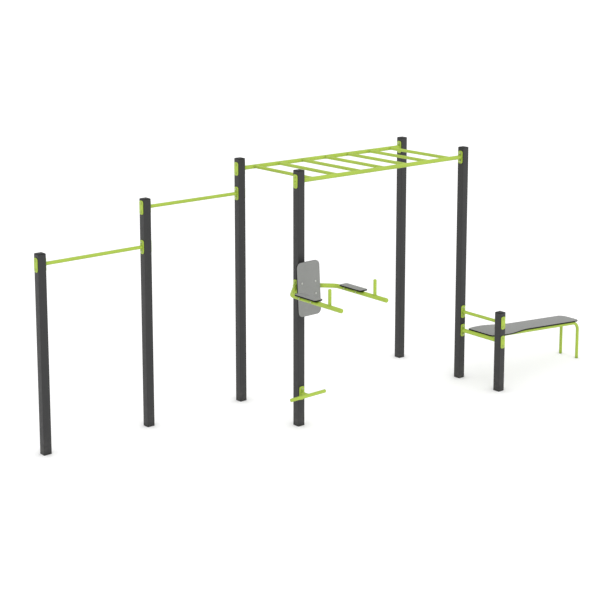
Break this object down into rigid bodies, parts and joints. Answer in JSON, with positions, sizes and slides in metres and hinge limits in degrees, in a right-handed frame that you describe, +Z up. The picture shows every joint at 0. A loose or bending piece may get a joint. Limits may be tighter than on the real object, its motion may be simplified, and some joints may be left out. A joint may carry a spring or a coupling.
{
  "type": "outdoor fitness station",
  "caption": "Outdoor fitness station of square posts with pull-up bars at two heights, a horizontal ladder, a dip stand with backrest and a sloping sit-up bench.",
  "frame": {"origin": "middle of the bounding box at ground level", "axes": "+X from the low pull-up bar along the ladder to the foot of the bench, +Y away from the side that the dip arms and the bench reach out to, +Z up"},
  "size_m": [6.0729, 1.891, 2.512],
  "materials": {
    "post_paint": "anthracite powder coat, fine matt texture",
    "cap_plastic": "black moulded plastic, satin",
    "lime_paint": "lime green powder coat, satin",
    "board": "mid-grey laminate board with dark cut edges",
    "bolt_steel": "pale galvanised bolt heads"
  },
  "bodies": {
    "root": {"ankle_bar": "lime_paint", "ankle_plate_1": "lime_paint", "ankle_plate_2": "lime_paint", "arm_pad_1": "board", "arm_pad_2": "board", "backrest": "board", "backrest_bracket": "lime_paint", "bench_bar": "lime_paint", "bench_bar_plate_1": "lime_paint", "bench_bar_plate_2": "lime_paint", "bench_board": "board", "bench_leg_1": "lime_paint", "bench_leg_2": "lime_paint", "bench_strap_1": "lime_paint", "bench_strap_2": "lime_paint", "bracket_plate": "lime_paint", "dip_arm_1": "lime_paint", "dip_arm_2": "lime_paint", "foot_step": "lime_paint", "grip_1": "lime_paint", "grip_2": "lime_paint", "high_bar_plate_1": "lime_paint", "high_bar_plate_2": "lime_paint", "ladder_rail_front": "lime_paint", "ladder_rail_rear": "lime_paint", "ladder_rung_1": "lime_paint", "ladder_rung_2": "lime_paint", "ladder_rung_3": "lime_paint", "ladder_rung_4": "lime_paint", "ladder_rung_5": "lime_paint", "ladder_rung_6": "lime_paint", "ladder_rung_7": "lime_paint", "low_bar_plate_1": "lime_paint", "low_bar_plate_2": "lime_paint", "pad_saddle_1": "lime_paint", "pad_saddle_2": "lime_paint", "pad_saddle_3": "lime_paint", "pad_saddle_4": "lime_paint", "post_1": "post_paint", "post_2": "post_paint", "post_3": "post_paint", "post_4": "post_paint", "post_5": "post_paint", "post_6": "post_paint", "post_7": "post_paint", "post_cap_1": "cap_plastic", "post_cap_2": "cap_plastic", "post_cap_3": "cap_plastic", "post_cap_4": "cap_plastic", "post_cap_5": "cap_plastic", "post_cap_6": "cap_plastic", "post_cap_7": "cap_plastic", "pull_up_bar_high": "lime_paint", "pull_up_bar_low": "lime_paint", "rail_plate_1": "lime_paint", "rail_plate_2": "lime_paint", "rail_plate_3": "lime_paint", "rail_plate_4": "lime_paint", "step_plate": "lime_paint"}
  },
  "joints": []
}
